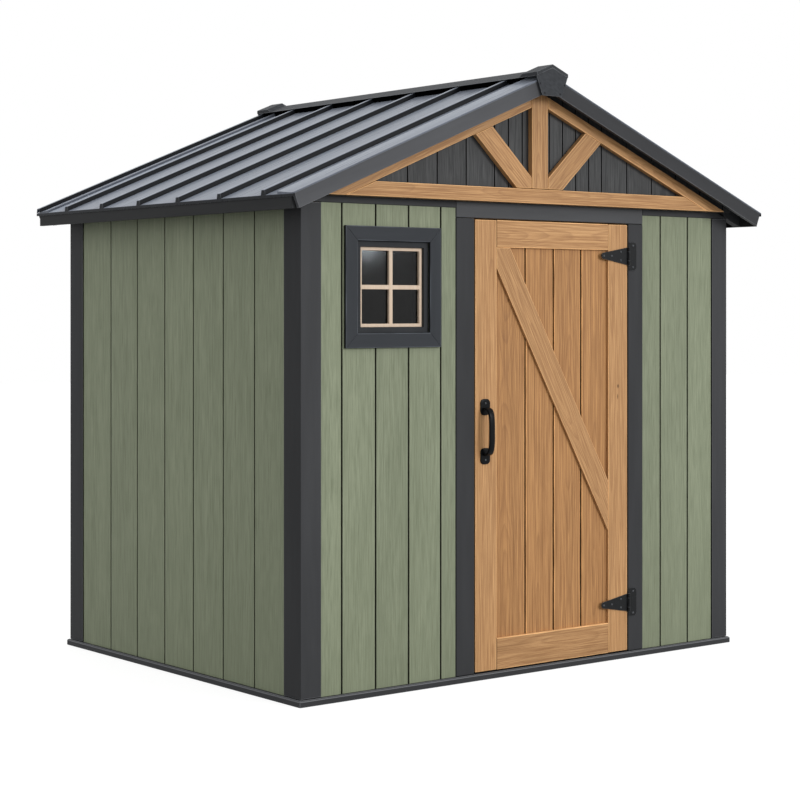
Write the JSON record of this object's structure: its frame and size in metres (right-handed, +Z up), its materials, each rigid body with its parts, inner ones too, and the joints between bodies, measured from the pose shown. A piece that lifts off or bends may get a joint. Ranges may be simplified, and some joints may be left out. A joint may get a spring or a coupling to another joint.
{
  "type": "wooden garden shed",
  "caption": "Timber-framed garden shed with vertical boards, a ribbed metal gable roof, a hinged braced plank door and a small barred window.",
  "frame": {"origin": "on the ground at the middle of the shed's footprint", "axes": "+X to the right along the front wall, +Y from front to back, +Z up; the door is in the -Y wall"},
  "size_m": [2.664, 2.092, 2.5918],
  "materials": {
    "green_boards": "painted green, satin, with fine grain",
    "grey_trim": "painted anthracite, satin",
    "grey_boards": "painted anthracite boards, satin",
    "natural_wood": "clear oiled softwood",
    "frame_timber": "planed softwood",
    "floor_boards": "planed softwood deck",
    "roof_metal": "satin coated steel",
    "black_iron": "satin black powder coat",
    "steel_pin": "plain steel",
    "sash_paint": "pale varnished softwood",
    "window_pane": "clear, dark inside"
  },
  "bodies": {
    "shed": {"base_sills_front_rear": "grey_trim", "base_sills_left_right": "grey_trim", "floor_bearers": "frame_timber", "floor_deck": "floor_boards", "corner_posts": "grey_trim", "side_wall_plates": "frame_timber", "end_wall_plates": "frame_timber", "wall_studs": "frame_timber", "wall_noggings": "frame_timber", "left_wall_boards": "green_boards", "right_wall_boards": "green_boards", "rear_wall_boards": "green_boards", "front_wall_left": "green_boards", "front_wall_right": "green_boards", "friezes": "grey_trim", "door_jambs": "grey_trim", "door_header": "grey_trim", "door_stops": "grey_trim", "window_casing": "grey_trim", "window_frame": "grey_trim", "window_sash": "sash_paint", "window_glass": "window_pane", "hinge_jamb_plates": "black_iron", "hinge_pins": "steel_pin", "rafters": "frame_timber", "ridge_board": "frame_timber", "gable_ties": "frame_timber", "eave_blocks": "grey_trim", "front_gable_boards": "grey_boards", "rear_gable_boards": "grey_boards", "roof_deck": "frame_timber", "fascias": "grey_trim", "barge_boards": "grey_trim", "roof_sheet_left": "roof_metal", "roof_sheet_right": "roof_metal", "rake_flashings": "roof_metal", "ridge_cap": "roof_metal", "ridge_ends": "roof_metal", "truss_chord": "natural_wood", "truss_king_post": "natural_wood", "truss_rafters": "natural_wood", "truss_struts": "natural_wood"},
    "door": {"door_stiles": "natural_wood", "door_rails": "natural_wood", "door_panel": "natural_wood", "door_brace": "natural_wood", "door_handle": "black_iron", "hinge_straps": "black_iron"}
  },
  "joints": [
    {"name": "door_hinge", "type": "hinge", "parent": "shed", "child": "door", "pos_m": [0.5715, -0.9265, 1], "axis": [0, 0, 1], "range_deg": [0, 170]}
  ]
}
